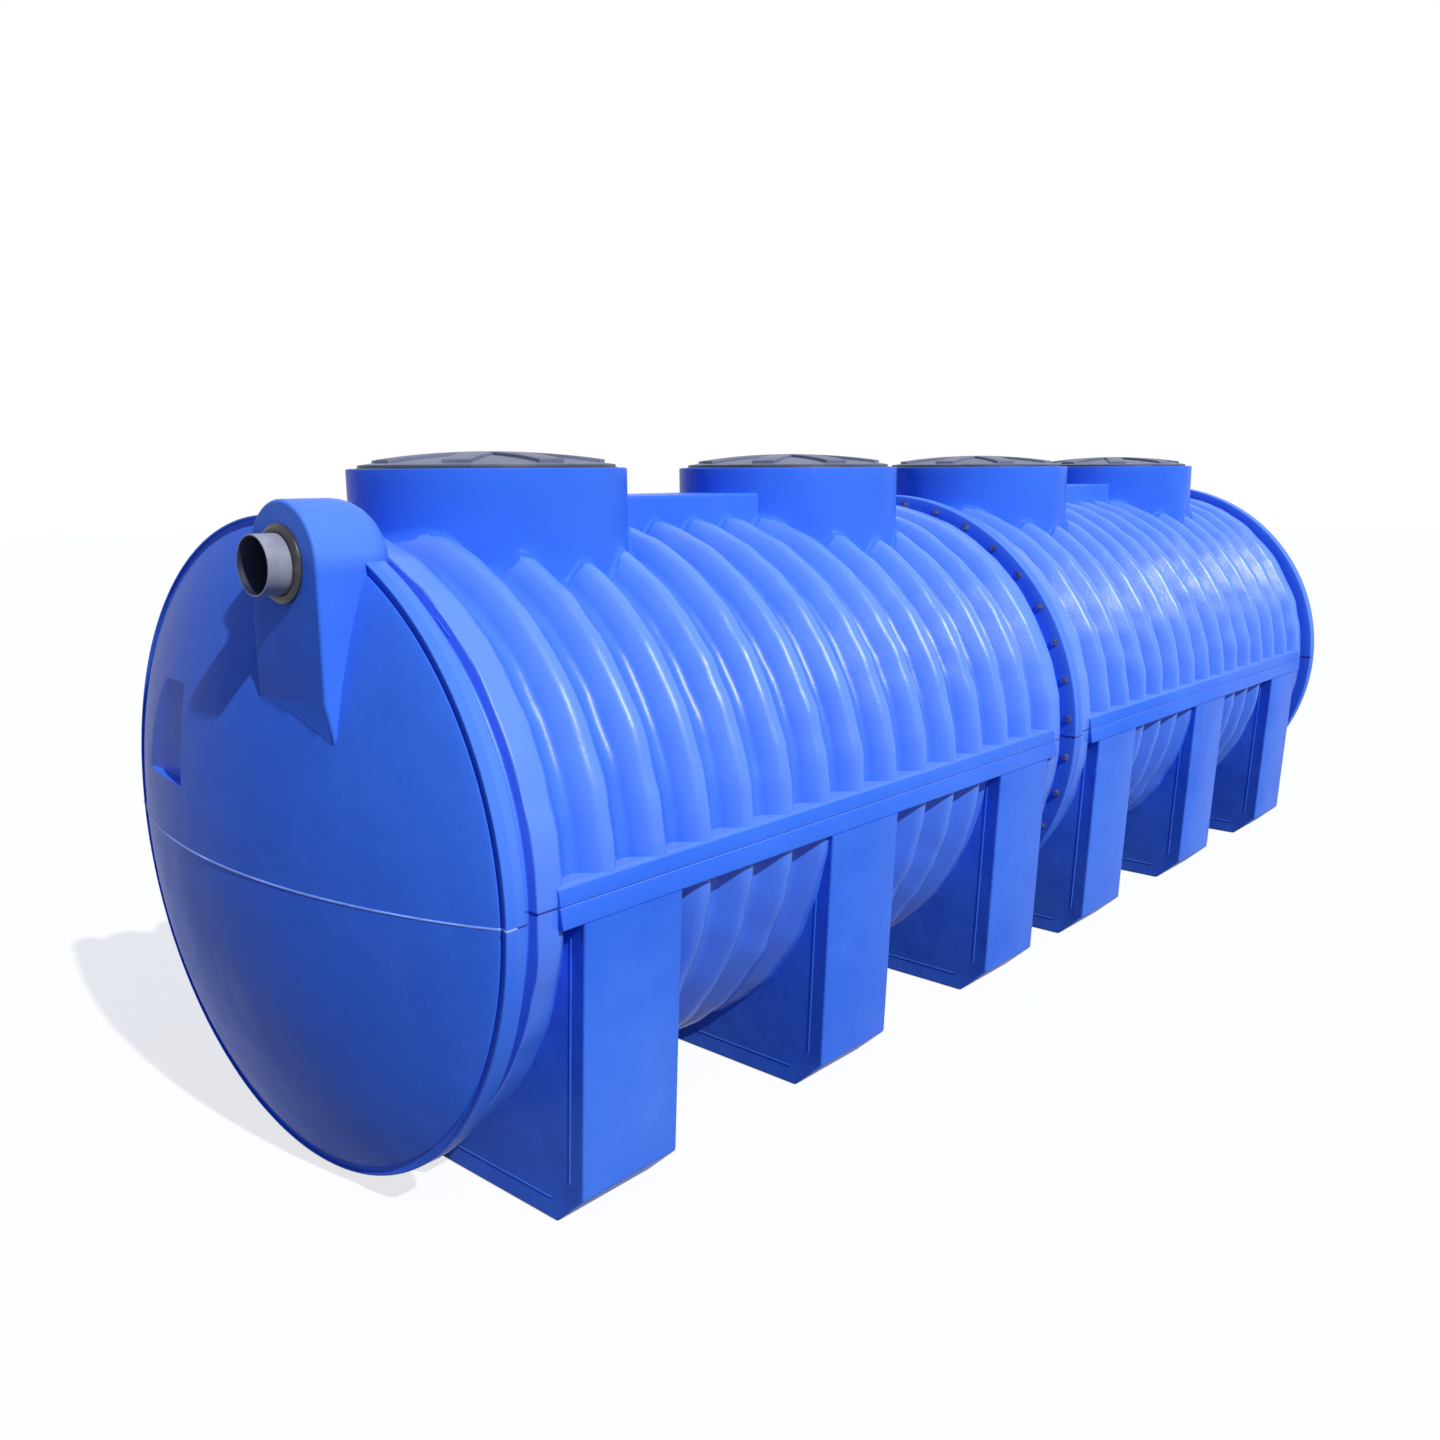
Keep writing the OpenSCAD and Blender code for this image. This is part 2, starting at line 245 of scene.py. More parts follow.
def mouldedPlastic(name, look, dustAndReflectionShare=0.25, lowTintTop=0.75, topSheenShare=0.0, crestHighlightShare=0.0,
                   crestFrom=0.616, gloss=0.05, roughness=0.36):
    # rotationally moulded polyethylene: mottled colour, orange peel, soft dents and scuffs, a greyer tint low
    # down that is partly dust and partly a painted reflection of the ground, and where asked a painted
    # highlight on the upper crests and a painted sheen on what faces up
    material = bpy.data.materials.new(name)
    material.use_nodes = True
    make = nodeMaker(material)
    link = material.node_tree.links.new
    shader = material.node_tree.nodes["Principled BSDF"]
    place = make("ShaderNodeTexCoord").outputs["Object"]

    def noiseOf(scale, detail, rough, where=place):
        node = make("ShaderNodeTexNoise", {"Vector": where}, Scale=scale, Detail=detail, Roughness=rough)
        return node.outputs["Fac"]

    mottle = noiseOf(look["mottleScale"], 5.0, 0.55)
    speck = noiseOf(look["speckScale"], 2.0, 0.6)
    mottled = ramp(make, mottle, look["mottleFrom"], look["mottleTo"])
    base = mixColour(make, mottled, look["deep"], look["colour"])
    base = mixColour(make, scaled(make, speck, look["speckShare"]), base, look["speck"])
    stretch = make("ShaderNodeMapping", {"Vector": place}, Scale=look["scuffStretch"])
    scuffs = noiseOf(look["scuffScale"], 6.0, 0.7, stretch.outputs["Vector"])
    scuffMask = ramp(make, scuffs, 0.66, 0.74)
    base = mixColour(make, scaled(make, scuffMask, look["scuffShare"]), base, look["scuff"])
    # low down, in patches, a greyer tint that is partly dust and partly a painted reflection of the ground;
    # it also roughens the surface
    upDown = make("ShaderNodeSeparateXYZ", {"Vector": place}).outputs["Z"]
    lowness = make("ShaderNodeMapRange", {"Value": upDown}, From_Min=lowTintTop, From_Max=look["lowTintBottom"],
                   To_Max=dustAndReflectionShare)
    dustAndReflectionPatches = ramp(make, noiseOf(look["lowTintScale"], 7.0, 0.62), 0.38, 0.72)
    dustAndReflectionAmount = make("ShaderNodeMath", {0: lowness.outputs["Result"], 1: dustAndReflectionPatches}, operation="MULTIPLY")
    dustAndReflectionAmount = dustAndReflectionAmount.outputs[0]
    base = mixColour(make, dustAndReflectionAmount, base, look["dustAndGroundReflection"])
    if crestHighlightShare:  # painted highlight: the tops of the ribs and the flange rims are lighter high up, where the sun falls, and this fades out low down
        spoke = make("ShaderNodeMapping", {"Vector": place}, Location=(0, 0, -axisHeight), Scale=(0, 1, 1))
        reach = make("ShaderNodeVectorMath", {0: spoke.outputs["Vector"]}, operation="LENGTH")
        high = make("ShaderNodeMapRange", {"Value": reach.outputs["Value"]}, From_Min=crestFrom,
                    From_Max=crestFrom + look["crestBand"]).outputs["Result"]
        above = make("ShaderNodeMapRange", {"Value": upDown}, From_Min=look["crestLow"],
                     From_Max=look["crestHigh"], To_Max=crestHighlightShare).outputs["Result"]
        highlighted = make("ShaderNodeMath", {0: high, 1: above}, operation="MULTIPLY")
        base = mixColour(make, highlighted.outputs[0], base, look["crest"])
    if topSheenShare:  # painted sheen: what faces up is lighter, standing in for the sky's reflection on it
        level = make("ShaderNodeSeparateXYZ", {"Vector": make("ShaderNodeNewGeometry").outputs["Normal"]})
        sheenOnTop = make("ShaderNodeMapRange", {"Value": level.outputs["Z"]}, From_Min=look["ledgeTilted"],
                       From_Max=look["ledgeLevel"], To_Max=topSheenShare)
        base = mixColour(make, sheenOnTop.outputs["Result"], base, look["ledge"])
    link(base, shader.inputs["Base Color"])
    spread = look["roughnessSpread"]
    rough = scaled(make, mottle, spread, roughness - spread / 2)
    roughDust = make("ShaderNodeMath", {0: rough, 1: scaled(make, dustAndReflectionAmount, look["dustRoughness"])},
                     operation="ADD")
    link(roughDust.outputs[0], shader.inputs["Roughness"])
    peel, dents = noiseOf(look["peelScale"], 2.0, 0.5), noiseOf(look["dentScale"], 2.0, 0.4)
    softBump = make("ShaderNodeBump", {"Height": dents}, Strength=look["dentStrength"],
                    Distance=look["dentDepth"])
    fineBump = make("ShaderNodeBump", {"Height": peel, "Normal": softBump.outputs["Normal"]},
                    Strength=look["peelStrength"], Distance=look["peelDepth"])
    link(fineBump.outputs["Normal"], shader.inputs["Normal"])
    shader.inputs["Specular IOR Level"].default_value = gloss
    return material


wornLook = {"grainFiner": 24, "grainShare": 0.22, "patchFrom": 0.42, "patchTo": 0.68, "roughnessSpread": 0.25,
            "bumpStrength": 0.4}


def wornMaterial(name, colour, worn, roughness, scale, bumpDepth, metallic=0.0):
    # a worn finish for rubber, pipe, lid and steel: two tones in patches under a fine grain
    material = bpy.data.materials.new(name)
    material.use_nodes = True
    make = nodeMaker(material)
    link = material.node_tree.links.new
    shader = material.node_tree.nodes["Principled BSDF"]
    place = make("ShaderNodeTexCoord").outputs["Object"]
    patches = make("ShaderNodeTexNoise", {"Vector": place}, Scale=scale, Detail=6.0, Roughness=0.6)
    grain = make("ShaderNodeTexNoise", {"Vector": place}, Scale=scale * wornLook["grainFiner"], Detail=3.0,
                 Roughness=0.6)
    patchy = ramp(make, patches.outputs["Fac"], wornLook["patchFrom"], wornLook["patchTo"])
    base = mixColour(make, patchy, colour, worn)
    base = mixColour(make, scaled(make, grain.outputs["Fac"], wornLook["grainShare"]), base, worn)
    link(base, shader.inputs["Base Color"])
    rough = scaled(make, patches.outputs["Fac"], wornLook["roughnessSpread"], roughness - 0.12)
    link(rough, shader.inputs["Roughness"])
    bump = make("ShaderNodeBump", {"Height": grain.outputs["Fac"]}, Strength=wornLook["bumpStrength"],
                Distance=bumpDepth)
    link(bump.outputs["Normal"], shader.inputs["Normal"])
    shader.inputs["Metallic"].default_value = metallic
    return material


barrelPlastic = mouldedPlastic("barrelPlastic", plasticLook, crestHighlightShare=0.75, gloss=0.50, roughness=0.38)
neckPlastic = mouldedPlastic("neckPlastic", plasticLook)
domePlastic = mouldedPlastic("domePlastic", plasticLook, dustAndReflectionShare=0.22, lowTintTop=0.80, crestHighlightShare=0.6,
                             crestFrom=0.658)
flangePlastic = mouldedPlastic("flangePlastic", plasticLook, crestHighlightShare=0.6, crestFrom=0.646)
legPlastic = mouldedPlastic("legPlastic", litLegLook, dustAndReflectionShare=0.15, lowTintTop=0.45)
railPlastic = mouldedPlastic("railPlastic", plasticLook, dustAndReflectionShare=0.0, topSheenShare=0.8)

# name, colour, worn colour, roughness, size of the patches, depth of the grain
# the seam's dark colour is painted shade of the parting groove
paintedSeamShade = wornMaterial("paintedSeamShade", (0.006, 0.020, 0.20, 1), (0.012, 0.04, 0.32, 1), 0.50, 30.0, 0.0002)
# painted shade for the inside of the pipe
paintedBoreShade = wornMaterial("paintedBoreShade", (0.010, 0.014, 0.05, 1), (0.03, 0.035, 0.08, 1), 0.60, 18.0, 0.0002)
lidPlastic = wornMaterial("lidPlastic", (0.095, 0.110, 0.18, 1), (0.19, 0.205, 0.29, 1), 0.50, 7.0, 0.0006)
blackRubber = wornMaterial("blackRubber", (0.012, 0.012, 0.014, 1), (0.06, 0.06, 0.065, 1), 0.42, 30, 0.0004)
greyPipe = wornMaterial("greyPipe", (0.25, 0.255, 0.31, 1), (0.36, 0.365, 0.42, 1), 0.42, 18.0, 0.0002)
# steel bolts tinted blue: a painted reflection of the blue tank around them
boltSteelBlueReflection = wornMaterial("boltSteelBlueReflection", (0.09, 0.11, 0.24, 1), (0.30, 0.33, 0.45, 1), 0.38, 60.0, 0.0002, 0.4)
flashPlastic = wornMaterial("flashPlastic", (0.20, 0.36, 0.92, 1), (0.34, 0.50, 0.95, 1), 0.40, 30.0, 0.0002)
print("finishes made")


# the ribbed barrel

flangeRadius = flangeHigh.z - axisHeight
flangeThick = flangeHigh.x - flangeLow.x
flangeProud = 0.052  # how far the flanges stand out of the groove beside them
barrel = {
    "crestRadius": shellHigh.z - shellLow.z,
    "halfLength": (shellHigh.x - shellLow.x) / 2,
    "grooveRadius": flangeRadius - flangeProud,
    "grooveWidth": 0.046,
    "ribPitch": 0.133,
    "ribCount": 14,
    "ribDepth": 0.044,
    "ribFlat": 0.026,
    "crestRounding": 0.027,
    "hollowRounding": 0.028,
    "cornerRounding": 0.005,
    "wall": 0.010,
    "turnSteps": 92,
    "cornerSteps": 4,
    "waviness": 0.0050,
    "waveLength": (0.13, 0.070),
    "calmBand": 0.05,  # the waves fade out this close to the parting line
}
shellEnd = moduleMiddle["far"] + barrel["halfLength"]


def barrelCorners():
    groove, crest = barrel["grooveRadius"], barrel["crestRadius"]
    valley = crest - barrel["ribDepth"]
    half, flat, pitch = barrel["halfLength"], barrel["ribFlat"] / 2, barrel["ribPitch"]
    grooveEnd = half - barrel["grooveWidth"]
    edge = barrel["cornerRounding"]
    corners = [(-half, groove, 0), (-grooveEnd, groove, edge), (-grooveEnd, crest, edge)]
    for rib in range(barrel["ribCount"] + 1):
        middle = (rib - barrel["ribCount"] / 2) * pitch
        if rib > 0:
            corners.append((middle - pitch / 2 + flat, valley, barrel["hollowRounding"]))
            corners.append((middle - flat, crest, barrel["crestRounding"]))
        if rib < barrel["ribCount"]:
            corners.append((middle + flat, crest, barrel["crestRounding"]))
            corners.append((middle + pitch / 2 - flat, valley, barrel["hollowRounding"]))
    return corners + [(grooveEnd, crest, edge), (grooveEnd, groove, edge), (half, groove, 0)]


barrelOutline = roundedOutline(barrelCorners(), barrel["cornerSteps"])
outlineAlong = [point.x for point in barrelOutline]


def waveAt(place):
    # soft dents of the moulding, longer along the barrel than round it
    along, across = barrel["waveLength"]
    return barrel["waviness"] * noise.noise(Vector((place[0] / along, place[1] / across, place[2] / across)))


def barrelTop(x, y, middle):
    # height of the barrel's skin over a point, within the ribbed stretch
    along = x - middle
    i = min(max(bisect.bisect(outlineAlong, along), 1), len(outlineAlong) - 1)
    before, after = barrelOutline[i - 1], barrelOutline[i]
    share = (along - before.x) / max(after.x - before.x, 1e-6)
    radius = before.y + (after.y - before.y) * share
    rise = math.sqrt(max(radius * radius - y * y, 0))
    wave = waveAt((x, y, axisHeight + rise))
    return axisHeight + math.sqrt(max((radius + wave) ** 2 - y * y, 0))


def barrelSolid(middle, sunk=0.002):
    # the whole barrel without its wall, a little slimmer, to cut what lies against it
    corners = [(-barrel["halfLength"], 0, 0)] + barrelCorners() + [(barrel["halfLength"], 0, 0)]
    outline = [Vector((max(point.y - sunk, 0), point.x + middle)) for point in roundedOutline(corners, 2)]
    return turned(outline, 120)


def neckPlaces(side):
    for index in (1, 2):
        low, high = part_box(f"{side}_neck_{index}")
        yield index, (low.x + high.x) / 2, (high.x - low.x) / 2, high.z


def makeBarrel(side):
    middle = moduleMiddle[side]
    for half, turn in (("Upper", math.pi), ("Lower", -math.pi)):
        bm = bmesh.new()
        places = [(point.x + middle, point.y, axisHeight) for point in barrelOutline]
        verts, edges = chainOf(bm, places)
        bmesh.ops.spin(bm, geom=verts + edges, cent=(0, 0, axisHeight), axis=(1, 0, 0),
                       angle=turn, steps=barrel["turnSteps"])
        for vert in bm.verts:
            spoke = Vector((0, vert.co.y, vert.co.z - axisHeight))
            ribbed = abs(vert.co.x - middle) < barrel["halfLength"] - barrel["grooveWidth"] - 0.001
            share = min(abs(vert.co.z - axisHeight) / barrel["calmBand"], 1) if ribbed else 0
            vert.co += spoke.normalized() * waveAt(vert.co) * share
        bmesh.ops.recalc_face_normals(bm, faces=bm.faces)
        outward = sum(face.normal.dot(Vector((0, c.y, c.z - axisHeight)))
                      for face in bm.faces for c in (face.calc_center_median(),))
        if outward < 0:
            bmesh.ops.reverse_faces(bm, faces=bm.faces)
        bmesh.ops.solidify(bm, geom=bm.faces[:], thickness=barrel["wall"])
        bmesh.ops.recalc_face_normals(bm, faces=bm.faces)
        if half == "Upper":
            for index, x, radius, top in neckPlaces(side):
                hole = bmesh.new()
                bmesh.ops.create_cone(hole, cap_ends=True, segments=128, radius1=radius - barrel["wall"],
                                      radius2=radius - barrel["wall"], depth=1)
                bmesh.ops.translate(hole, verts=hole.verts, vec=(x, 0, top))
                bm = combined(bm, hole)
        nodes = [f"{side}_{half.lower()}_shell"]
        placed(side + half + "Barrel", bm, barrelPlastic, nodes, 40)


for side in sides:
    makeBarrel(side)
print("barrels made")


# necks and the bridges between them

neck = {"wall": 0.010, "rimRounding": 0.003, "ledgeWidth": 0.069, "ledgeThick": 0.010, "foot": 0.014,
        "footSteps": 4, "wallStops": (0.2, 0.4, 0.6, 0.8), "turnSteps": 240, "sunk": 0.004}
bridge = {"rounding": 0.010, "foot": 0.014, "footSteps": 4, "stations": 64, "sunk": 0.004, "intoNeck": 0.005}


def footCurve(wallPoint, corner, floorPoint, steps):
    # hollow curve from a wall down to the skin under it
    for step in range(steps + 1):
        share = step / steps
        yield wallPoint.lerp(corner, share).lerp(corner.lerp(floorPoint, share), share)


def bridged(bm, loops):
    for first, second in zip(loops, loops[1:]):
        bmesh.ops.bridge_loops(bm, edges=first + second)


def makeNeck(side, index, x, radius, top):
    # one closed section for each turn, from the inner foot over the rim and down to the outer foot
    middle, wall, foot = moduleMiddle[side], neck["wall"], neck["foot"]
    edge, under, ledge = neck["rimRounding"], top - neck["ledgeThick"], radius - neck["ledgeWidth"]
    rim = roundedOutline([(radius - wall, 0, 0), (radius - wall, under, edge), (ledge, under, edge),
                          (ledge, top, edge), (radius, top, edge), (radius, 0, 0)], 3)[1:-1]
    bm = bmesh.new()
    columns = []
    for step in range(neck["turnSteps"]):
        angle = math.tau * step / neck["turnSteps"]
        out = Vector((math.cos(angle), math.sin(angle), 0))

        def at(reach, height):
            return Vector((x, 0, height)) + out * reach

        def skin(reach):
            spot = at(reach, 0)
            return barrelTop(spot.x, spot.y, middle)

        places = [at(radius - wall, skin(radius - wall) - neck["sunk"])]
        places += [at(point.x, point.y) for point in rim]
        drop = skin(radius) + foot
        places += [at(radius, top + (drop - top) * share) for share in neck["wallStops"]]
        corner, floorPoint = at(radius, skin(radius)), at(radius + foot, skin(radius + foot))
        places += list(footCurve(at(radius, drop), corner, floorPoint, neck["footSteps"]))
        places.append(at(radius + foot / 2, min(skin(radius + foot / 2), skin(radius + foot)) - neck["sunk"]))
        columns.append(chainOf(bm, places, closed=True)[1])
    bridged(bm, columns + columns[:1])
    bmesh.ops.recalc_face_normals(bm, faces=bm.faces)
    placed(f"{side}Neck{index}", bm, neckPlastic, [f"{side}_neck_{index}"], 50)


def makeBridge(side):
    middle = moduleMiddle[side]
    low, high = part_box(side + "_neck_bridge")
    half, wall, foot = (high.y - low.y) / 2, barrel["wall"], bridge["foot"]
    (_, firstX, radius, _), (_, lastX, _, _) = list(neckPlaces(side))
    top = roundedOutline([(-half, 0, 0), (-half, high.z, bridge["rounding"]),
                          (half, high.z, bridge["rounding"]), (half, 0, 0)], 4)[1:-1]
    bm = bmesh.new()
    sections = []
    for station in range(bridge["stations"] + 1):
        share = station / bridge["stations"]

        def at(y, height=None, lift=0.0):
            reach = math.sqrt((radius - bridge["intoNeck"]) ** 2 - y * y)
            x = firstX + reach + (lastX - firstX - 2 * reach) * share
            return Vector((x, y, barrelTop(x, y, middle) + lift if height is None else height))

        places = [at(-half - foot / 2, lift=-bridge["sunk"])]
        places += list(footCurve(at(-half - foot), at(-half), at(-half, lift=foot), bridge["footSteps"]))
        places += [at(point.x, point.y) for point in top]
        places += list(footCurve(at(half, lift=foot), at(half), at(half + foot), bridge["footSteps"]))
        places.append(at(half + foot / 2, lift=-bridge["sunk"]))
        places += [at(half - wall, lift=-bridge["sunk"]), at(half - wall, high.z - wall),
                   at(wall - half, high.z - wall), at(wall - half, lift=-bridge["sunk"])]
        sections.append(chainOf(bm, places, closed=True)[1])
    bridged(bm, sections)
    for section in (sections[0], sections[-1]):
        bmesh.ops.contextual_create(bm, geom=section)
    bmesh.ops.triangulate(bm, faces=[f for f in bm.faces if len(f.verts) > 4])
    bmesh.ops.recalc_face_normals(bm, faces=bm.faces)
    placed(side + "NeckBridge", bm, neckPlastic, [side + "_neck_bridge"], 50)


for side in sides:
    for index, x, radius, top in neckPlaces(side):
        makeNeck(side, index, x, radius, top)
    makeBridge(side)
print("necks and bridges made")


# lids and their seals

lid = {
    "edge": 0.005, "chamfer": 0.001, "crownSteps": 24, "turnSteps": 128,
    "ribHeight": 0.007, "ribThick": 0.012, "ribs": 8, "ribWidth": 0.060, "ribMargin": 0.026,
    "ribRounding": 0.002, "ribCuts": 23, "ribStep": 0.0002,
    "turns": {"near_lid_1": 37, "near_lid_2": 24, "far_lid_1": 8, "far_lid_2": 30},
}
gasket = {"inside": 0.005, "skirt": 0.0008, "pastLid": 0.003, "taper": 0.001, "edge": 0.0005, "lip": 0.001}


def makeLid(side, index):
    node = f"{side}_lid_{index}"
    low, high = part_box(node)
    x, radius = (low.x + high.x) / 2, (high.x - low.x) / 2
    crown = high.z - low.z - lid["ribHeight"] - lid["ribStep"] * lid["ribs"] / 2
    rise = crown - lid["edge"]
    sphere = (radius ** 2 + rise ** 2) / (2 * rise)

    def domeAt(reach):
        return crown - sphere + math.sqrt(sphere ** 2 - reach ** 2)

    chamfer, steps = lid["chamfer"], lid["crownSteps"]
    outline = [Vector((0, 0)), Vector((radius - chamfer, 0)), Vector((radius, chamfer)),
               Vector((radius, lid["edge"] - chamfer))]
    inwards = [radius * (1 - i / steps) for i in range(steps + 1)]
    outline += [Vector((reach, domeAt(reach))) for reach in inwards]
    bm = turned(outline, lid["turnSteps"], (x, 0), low.z, closed=False)
    end, half = radius - lid["ribMargin"], lid["ribWidth"] / 2
    for rib in range(lid["ribs"] // 2):
        bar = bmesh.new()
        bmesh.ops.create_cube(bar, size=1)
        bmesh.ops.scale(bar, verts=bar.verts, vec=(2 * end, 2 * half, lid["ribThick"]))
        lift = lid["ribHeight"] + lid["ribStep"] * rib - lid["ribThick"] / 2
        bmesh.ops.translate(bar, verts=bar.verts, vec=(0, 0, lift))
        rounded(bar, lid["ribRounding"], 2, lambda e: min(v.co.z for v in e.verts) > 0)
        lengthwise = [e for e in bar.edges if abs(e.verts[0].co.x - e.verts[1].co.x) > end]
        bmesh.ops.subdivide_edges(bar, edges=lengthwise, cuts=lid["ribCuts"], use_grid_fill=True)
        for vert in bar.verts:
            vert.co.z += domeAt(min(vert.co.xy.length, radius))
        turn = math.radians(lid["turns"][node]) + math.tau * rib / lid["ribs"]
        bmesh.ops.rotate(bar, verts=bar.verts, cent=(0, 0, 0), matrix=Matrix.Rotation(turn, 3, "Z"))
        bmesh.ops.translate(bar, verts=bar.verts, vec=(x, 0, low.z))
        bmesh.ops.recalc_face_normals(bar, faces=bar.faces)
        bm = combined(bm, bar, "UNION")
    placed(f"{side}Lid{index}", bm, lidPlastic, [node], 28)


def makeGasket(side, index):
    node = f"{side}_gasket_{index}"
    low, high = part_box(node)
    lidLow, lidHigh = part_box(f"{side}_lid_{index}")
    x, radius, thick = (low.x + high.x) / 2, (high.x - low.x) / 2, high.z - low.z
    inner = radius - neck["ledgeWidth"] + gasket["inside"]
    shoulder = (lidHigh.x - lidLow.x) / 2 + gasket["pastLid"]
    skirt, edge = gasket["skirt"], gasket["edge"]
    outline = roundedOutline([(inner, 0, 0), (radius, 0, 0), (radius, skirt, 0), (shoulder, skirt, edge),
                              (shoulder - gasket["taper"], thick, edge), (inner, thick, gasket["lip"])],
                             2, closed=True)
    ring = turned(outline, lid["turnSteps"], (x, 0), low.z)
    placed(f"{side}Gasket{index}", ring, blackRubber, [node])


for side in sides:
    for index in (1, 2):
        makeLid(side, index)
        makeGasket(side, index)
print("lids made")


# flanges, domed ends, seals and pipes

flange = {"inner": barrel["grooveRadius"] - barrel["wall"], "rounding": 0.005, "turnSteps": 192}
dome = {
    "rise": 0.131, "fullness": 0.90, "ring": 0.020, "lip": 0.005, "rimEdge": 0.004,
    "pocketOut": 0.064, "pocketSide": 0.236, "pocketWidth": 0.320, "pocketLow": 0.117, "pocketHeight": 0.213,
    "pocketRounding": 0.008,
    "bossRadius": 0.114, "bossOut": 0.098, "bossLow": 0.270, "bossEdge": 0.007, "bossBackEdge": 0.088,
    "archSteps": 40, "edgeSteps": 8, "footRise": 0.080, "footBack": 0.016,
    "pipeSide": 0.203, "inletRise": 0.594, "wall": 0.010, "turnSteps": 192, "capSteps": 34,
}
seal = {"out": 0.012, "radius": 0.072, "plug": 0.062, "depth": 0.020}
domeFace = -(moduleMiddle["far"] * 2 + flangeThick)
bossFace = domeFace - dome["bossOut"]
bossBack = -(shellEnd - barrel["grooveWidth"])
overshoot = 0.5  # how far a cutter reaches past what it cuts


def facing(bm, end):
    # what is drawn at the inlet end, turned half round for the outlet end
    if end == "outlet":
        bmesh.ops.rotate(bm, verts=bm.verts, cent=(0, 0, 0), matrix=Matrix.Rotation(math.pi, 3, "Z"))
    return bm


def bossShape(radius, low, front, back, edge=0.0, backEdge=0.0):
    centre = Vector((-dome["pipeSide"], axisHeight + dome["inletRise"]))
    angles = [math.pi * i / dome["archSteps"] for i in range(dome["archSteps"] + 1)]
    arch = [centre + Vector((math.cos(angle), math.sin(angle))) * radius for angle in angles]
    foot = axisHeight + low
    outline = arch + [Vector((centre.x - radius, foot)), Vector((centre.x + radius, foot))]
    bm = prism(outline, front, back)
    # the foot of the front leans back, so that it runs out on the dish
    bend = (front, 0, foot + dome["footRise"])
    bmesh.ops.bisect_plane(bm, geom=bm.verts[:] + bm.edges[:] + bm.faces[:], plane_co=bend,
                           plane_no=(-dome["footRise"], 0, -dome["footBack"]), clear_outer=True)
    bmesh.ops.holes_fill(bm, edges=bm.edges[:])
    bmesh.ops.recalc_face_normals(bm, faces=bm.faces[:])
    if edge:
        rounded(bm, edge, dome["edgeSteps"], lambda e: sum(f.normal.x < -0.9 for f in e.link_faces) == 1)
    if backEdge:
        rounded(bm, backEdge, dome["edgeSteps"],
                lambda e: all(abs(v.co.x - back) < joining["same"] for v in e.verts))
    return bm


def makeFlange(side, where, end=None):
    # no rounding on the side that lies against the dome's own flange, and a notch for the boss
    node = f"{side}_{where}_flange"
    low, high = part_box(node)
    lowEdge, highEdge = (0 if end == closed else flange["rounding"] for closed in ends)
    outline = roundedOutline([(flange["inner"], low.x, 0), (flangeRadius, low.x, lowEdge),
                              (flangeRadius, high.x, highEdge), (flange["inner"], high.x, 0)], 3, closed=True)
    bm = turned(outline, flange["turnSteps"])
    if end:
        bm = combined(bm, facing(bossShape(dome["bossRadius"], dome["bossLow"], bossFace, bossBack), end))
    placed(f"{side}{where.capitalize()}Flange", bm, flangePlastic, [node])


makeFlange("near", "front", "inlet")
makeFlange("near", "back")
makeFlange("far", "front")
makeFlange("far", "back", "outlet")


def domeOut(reach, lowered=0.0):
    # how far the dished end stands out of its flange at a distance from the axis; lowered is for its inside
    share = reach / (flangeRadius - dome["ring"] - lowered)
    return (dome["rise"] - lowered) * max(1 - share ** 2, 0) ** dome["fullness"]


def capSolid(lowered, back, ringRadius, edge):
    # the outer face has a narrow channel between the dish and the lip of its flange
    reach = flangeRadius - dome["ring"] - lowered
    angles = [math.pi / 2 * i / dome["capSteps"] for i in range(dome["capSteps"] + 1)]
    cap = [Vector((reach * math.sin(a), domeFace - domeOut(reach * math.sin(a), lowered))) for a in angles]
    if lowered:
        return turned(cap + [Vector((reach, back)), Vector((0, back))], dome["turnSteps"], closed=False)
    lip = dome["lip"]
    corners = [(reach, domeFace, 0), (reach, domeFace + lip, 0), (ringRadius - lip, domeFace + lip, 0.001),
               (ringRadius - lip, domeFace, 0.001), (ringRadius, domeFace, edge), (ringRadius, back, 0),
               (0, back, 0)]
    return turned(cap[:-1] + roundedOutline(corners, 3), dome["turnSteps"], closed=False)


def pocketShape(grown):
    low = Vector((domeFace - dome["pocketOut"] - overshoot + grown, dome["pocketSide"] - grown,
                  axisHeight + dome["pocketLow"] - grown))
    size = Vector((overshoot, dome["pocketWidth"] + 2 * grown, dome["pocketHeight"] + 2 * grown))
    bm = bmesh.new()
    bmesh.ops.create_cube(bm, size=1)
    bmesh.ops.scale(bm, verts=bm.verts, vec=size)
    bmesh.ops.translate(bm, verts=bm.verts, vec=low + size / 2)
    return rounded(bm, dome["pocketRounding"], 3)


def cylinderX(radius, lowX, highX, y, z, steps=96):
    bm = bmesh.new()
    bmesh.ops.create_cone(bm, cap_ends=True, segments=steps, radius1=radius, radius2=radius,
                          depth=highX - lowX)
    bmesh.ops.rotate(bm, verts=bm.verts, cent=(0, 0, 0), matrix=Matrix.Rotation(math.pi / 2, 3, "Y"))
    bmesh.ops.translate(bm, verts=bm.verts, vec=((lowX + highX) / 2, y, z))
    return bm


def pipeHeight(end):
    low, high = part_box(end + "_pipe")
    return (low.z + high.z) / 2


